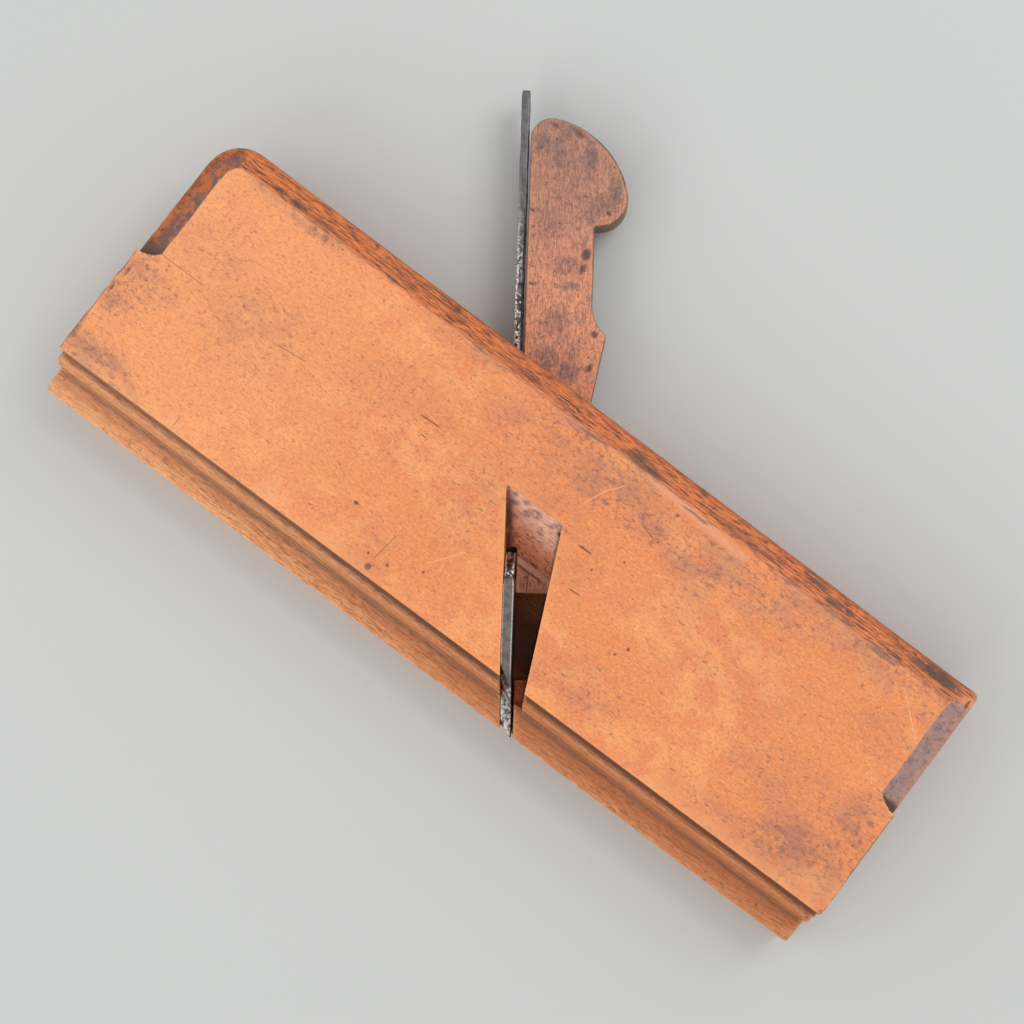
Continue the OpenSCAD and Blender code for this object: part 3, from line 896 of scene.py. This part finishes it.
def beech_sole(s, colour, fibre, speck):
    """The moulded sole: brown veins along the stock, darker towards the toe, with a painted shadow line
    under the near face's lower edge.
    """
    vein = s.noise((0.16, 2.3, 2.3), 4, 0.72, 17)
    x = s.axis("X")
    used = s.step(x, -118, -20, 0.6, 1.0)
    rim = s.step(s.axis("Y"), 3.6, 1.6, 1.0, 0.45)
    fine = s.noise((0.3, 5.5, 5.5), 3, 0.7, 31)
    sole = s.mix(s.times(s.step(vein, 0.44, 0.6), used), (1.0, 0.48, 0.21), (0.92, 0.35, 0.14))
    sole = s.mix(s.step(s.axis("Y"), 2.8, 3.8, 0, 0.35), sole, (0.5, 0.19, 0.075))
    sole = s.mix(s.times(s.step(vein, 0.56, 0.66, 0, 0.8), rim), sole, (0.17, 0.085, 0.04))
    sole = s.mix(s.times(s.step(fine, 0.52, 0.6, 0, 0.65), used), sole, (0.2, 0.07, 0.025))
    sole = s.mix(s.times(s.step(fibre, 0.52, 0.64, 0, 0.5), used), sole, (0.2, 0.075, 0.03))
    sole = s.mix(s.step(x, -60, 40, 0, 0.5), sole, (0.4, 0.085, 0.008))
    sole = s.mix(s.step(speck, 0.55, 0.63, 0, 0.55), sole, (0.17, 0.075, 0.04))
    # Painted shade: a dark line in the corner under the near face's lower edge, stronger towards the toe
    sole = s.mix(s.stored("painted_quirk_shade"), sole, (0.13, 0.035, 0.01))
    return s.mix(s.times(s.stored("sole"), 0.95), colour, sole)


def beech_throat(s, colour, fibre, speck, blotch):
    """The escapement's sloping top, stained and pinkish, with dirt and painted shade where it meets the
    bed, and the walls and floor of the throat with painted light and shade.
    """
    ramp = s.mix(s.step(fibre, 0.42, 0.62), (1.0, 0.62, 0.46), (0.85, 0.36, 0.23))
    ramp = s.mix(s.step(s.axis("Y"), 47, 41.5, 0, 0.85), ramp, (1.0, 0.4, 0.18))
    low_specks = s.times(s.step(speck, 0.51, 0.58, 0, 0.85), s.step(s.axis("Y"), 49, 42, 0.3, 1))
    ramp = s.mix(low_specks, ramp, (0.2, 0.06, 0.035))
    for x, h, radius in RAMP_SPOTS:
        spot = s.spot(x, h, 0.85 * radius, 0.8, ramp_z(h))
        ramp = s.mix(s.times(spot, s.step(speck, 0.4, 0.52, 0.25, 0.9)), ramp, (0.28, 0.18, 0.175))
    # Dirt together with painted shade: darker where the sloping top runs into the bed
    wall = s.times(s.stored("wall"), s.step(blotch, 0.3, 0.5, 0.65, 1.0))
    ramp = s.mix(wall, ramp, (0.09, 0.045, 0.03))
    ramp = s.mix(s.dash(*RAMP_DASH, z=ramp_z(RAMP_DASH_H)), ramp, (0.045, 0.05, 0.055))
    colour = s.mix(s.stored("ramp"), colour, ramp)
    # Painted light and shade: the throat's walls and floor are lit brown near the wedge's end, in painted
    # shadow lower down, and lit again near the mouth
    floor = s.mix(s.step(s.axis("Y"), 35, 25), (0.75, 0.2, 0.02), (0.2, 0.025, 0))
    floor = s.mix(s.step(s.axis("Y"), 18, 11), floor, (0.6, 0.11, 0))
    floor = s.mix(s.step(fibre, 0.5, 0.62, 0, 0.6), floor, (0.1, 0.02, 0))
    return s.mix(s.stored("throat"), colour, floor)


def beech():
    """The stock's material, from the near face to the sole, the edges and the throat."""
    s = Surface("old_beech")
    fibre = s.noise((0.45, 3.0, 3.0), 3, 0.6)
    mottle = s.noise((1.1, 1.9, 1.9), 4, 0.75, 7)
    speck = s.noise((0.5, 0.75, 0.75), 6, 0.82, 4)
    blotch = s.noise((0.32, 0.32, 0.32), 4, 0.65, 21)
    colour = bare_beech(s, fibre, mottle)
    colour = dirty_beech(s, colour, speck)
    for x, h, radius in DARK_SPOTS:
        colour = s.mix(s.times(s.spot(x, h, radius, 0.25), 0.85), colour, (0.12, 0.06, 0.05))
    for dash in DARK_DASHES:
        colour = s.mix(s.times(s.dash(*dash), 0.8), colour, (0.13, 0.055, 0.04))
    for dash in LIGHT_DASHES:
        colour = s.mix(s.times(s.dash(*dash), 0.7), colour, (1.0, 0.55, 0.28))
    colour = s.mix(s.times(s.dash(*RUBBED_STREAK), 0.4), colour, (0.9, 0.45, 0.27))
    colour = beech_sole(s, colour, fibre, speck)
    colour = beech_edges(s, colour, speck, blotch)
    end_grain = s.times(s.stored("end_grain"), s.step(speck, 0.4, 0.6, 0.4, 0.9))
    colour = s.mix(end_grain, colour, (0.36, 0.12, 0.05))
    colour = beech_throat(s, colour, fibre, speck, blotch)
    bare = s.times(s.stored("edge"), s.step(mottle, 0.4, 0.6, 0.05, 0.45))
    colour = s.mix(bare, colour, (1.0, 0.5, 0.23))
    # Dirt together with painted shade: the hollows are darkened
    colour = s.mix(s.times(s.stored("hollow"), 0.6), colour, (0.08, 0.028, 0.014))
    relief = s.maths("ADD", s.times(fibre, 0.6), s.times(mottle, 0.4))
    return s.finish(colour, s.step(fibre, 0.3, 0.7, 0.45, 0.62), relief, 0.07)


def wedge_wood():
    """The wedge's material: pinkish red-brown hardwood with grey-purple stains, and painted shade on its
    narrow sides.
    """
    s = Surface("wedge_wood")
    fibre = s.noise((3.4, 0.4, 3.4), 3, 0.65, along_bed=True)
    mottle = s.noise((1.6, 1.1, 1.6), 4, 0.7, 3, along_bed=True)
    smoke = s.noise((0.3, 0.2, 0.3), 5, 0.7, 9, along_bed=True)
    speck = s.noise((0.9, 0.6, 0.9), 5, 0.78, 11, along_bed=True)
    lower = s.stored("lower")
    light = s.mix(lower, (0.54, 0.25, 0.16), (0.84, 0.34, 0.18))
    dark = s.mix(lower, (0.36, 0.165, 0.115), (0.56, 0.215, 0.125))
    colour = s.mix(s.step(mottle, 0.38, 0.62), light, dark)
    colour = s.mix(s.step(fibre, 0.5, 0.64, 0, 0.65), colour, (0.25, 0.1, 0.07))
    colour = s.mix(s.step(fibre, 0.46, 0.34, 0, 0.35), colour, light)
    stain = s.times(s.stored("stain"), s.step(speck, 0.38, 0.52, 0.15, 1.0))
    colour = s.mix(s.times(stain, 0.85), colour, (0.15, 0.095, 0.09))
    colour = s.mix(s.step(smoke, 0.53, 0.68, 0, 0.5), colour, (0.21, 0.12, 0.11))
    colour = s.mix(s.step(speck, 0.56, 0.62, 0, 0.75), colour, (0.1, 0.055, 0.05))
    # Painted shade: the narrow sides are darkened
    colour = s.mix(s.times(s.stored("side"), 0.7), colour, (0.2, 0.1, 0.09))
    colour = s.mix(s.times(s.stored("strip"), 0.75), colour, (0.8, 0.42, 0.28))
    for crack in WEDGE_CRACKS:
        colour = s.mix(s.times(s.dash(*crack, z=WEDGE_Z), 0.85), colour, (0.06, 0.03, 0.025))
    # Painted shade: the narrow sides at the finial's nose are darkest
    colour = s.mix(s.times(s.stored("nose"), 0.85), colour, (0.1, 0.085, 0.05))
    bare = s.times(s.stored("edge"), s.step(mottle, 0.35, 0.6, 0, 0.6))
    colour = s.mix(bare, colour, (0.75, 0.36, 0.2))
    outline = s.times(s.stored("outline"), s.step(smoke, 0.4, 0.5, 0.35, 0.9))
    colour = s.mix(outline, colour, (0.06, 0.035, 0.03))
    # Dirt together with painted shade: the hollows are darkened
    colour = s.mix(s.times(s.stored("hollow"), 0.8), colour, (0.07, 0.035, 0.03))
    relief = s.maths("ADD", s.times(fibre, 0.7), s.times(mottle, 0.3))
    return s.finish(colour, s.step(fibre, 0.3, 0.7, 0.42, 0.58), relief, 0.08)


def forged_iron():
    """The iron's material: a grey blade, and a black and rusty tang, both rubbed bright in places, with
    painted highlights and painted shade.
    """
    s = Surface("forged_iron")
    cloud = s.noise((0.5, 0.5, 0.5), 4, 0.6)
    fine = s.noise((2.4, 2.4, 2.4), 3, 0.6, 4)
    rub = s.noise((1.1, 1.1, 1.1), 3, 0.6, 8)
    rust = s.stored("rust")
    steel = s.mix(s.step(cloud, 0.35, 0.65), (0.235, 0.205, 0.185), (0.15, 0.125, 0.11))
    black = s.mix(s.step(cloud, 0.4, 0.65), (0.2, 0.185, 0.19), (0.14, 0.13, 0.13))
    black = s.mix(s.stored("shoulder"), black, (0.035, 0.03, 0.03))
    colour = s.mix(s.stored("tang"), steel, black)
    colour = s.mix(s.times(rust, s.step(rub, 0.46, 0.58, 0, 0.85)), colour, (0.05, 0.035, 0.028))
    rubbed = s.times(rust, s.step(s.stored("edge"), 0.03, 0.28), s.step(fine, 0.42, 0.52))
    colour = s.mix(rubbed, colour, (0.85, 0.8, 0.76))
    # Painted highlight on the forged shoulder
    colour = s.mix(s.stored("painted_shoulder_highlight"), colour, (0.95, 0.92, 0.86))
    arris = s.times(s.stored("arris"), s.step(fine, 0.36, 0.5, 0.2, 0.8))
    colour = s.mix(arris, colour, (0.65, 0.63, 0.6))
    # Painted shade beside the wedge
    colour = s.mix(s.stored("shade"), colour, (0.014, 0.012, 0.011))
    colour = s.mix(s.times(s.stored("ground"), s.step(rub, 0.42, 0.55)), colour, (0.72, 0.71, 0.7))
    colour = s.mix(s.times(s.stored("low"), s.step(cloud, 0.48, 0.6, 0, 0.7)), colour, (0.1, 0.07, 0.055))
    colour = s.mix(s.times(s.stored("corner"), 0.9), colour, (0.06, 0.035, 0.022))
    # Painted highlight: a bright line along the bevel's edge
    colour = s.mix(s.times(s.stored("bevel"), 0.85), colour, (0.85, 0.82, 0.78))
    # Rust together with painted shade: the hollows are darkened
    colour = s.mix(s.times(s.stored("hollow"), 0.7), colour, (0.03, 0.025, 0.02))
    relief = s.maths("ADD", s.times(fine, 0.5), s.times(rub, 0.5))
    return s.finish(colour, s.step(fine, 0.3, 0.7, 0.36, 0.56), relief, 0.09, metallic=0.8)


make_camera()
make_floor()
for lamp_name, (lamp_bearing, lamp_elevation, lamp_power) in LAMPS.items():
    make_softbox(lamp_name, lamp_bearing, lamp_elevation, lamp_power)
make_world(WORLD_STRENGTH)
scene.view_settings.view_transform = "Standard"

make_stock(beech())
make_iron(forged_iron())
make_wedge(wedge_wood())
